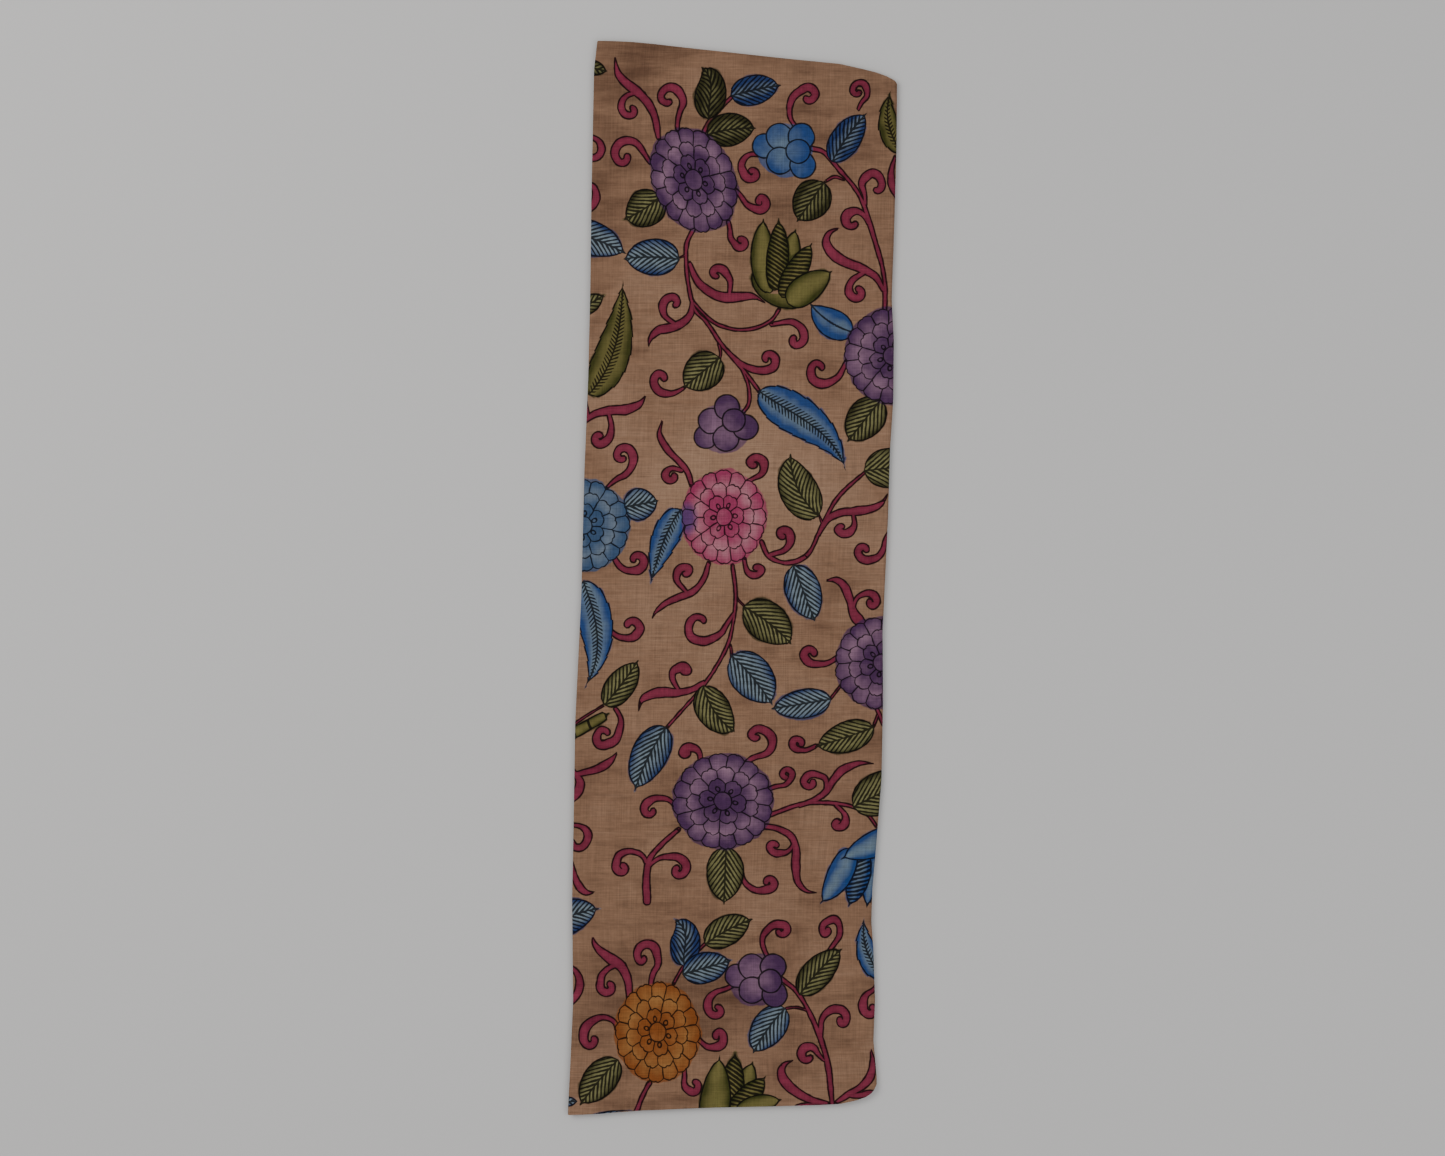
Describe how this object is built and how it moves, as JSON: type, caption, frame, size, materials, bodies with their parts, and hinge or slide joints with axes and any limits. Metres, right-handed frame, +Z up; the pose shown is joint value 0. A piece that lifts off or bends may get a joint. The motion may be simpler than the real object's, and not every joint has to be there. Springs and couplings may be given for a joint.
{
  "type": "kalamkari panel",
  "caption": "Painted and dyed cotton panel with a flowering vine, folded lengthwise in four and laid flat.",
  "frame": {"origin": "centre of the bounding box, on the surface that the folded cloth rests on", "axes": "+Z up, +Y along the strip towards its slanting end (the picture's top), +X across it to the picture's right"},
  "size_m": [0.3068, 1.001, 0.0072],
  "materials": {
    "painted_cotton": "matt plain-woven cotton, warm brown ground with dyed flowers, leaves and a crimson vine"
  },
  "bodies": {
    "root": {"folded_panel": "painted_cotton"}
  },
  "joints": []
}
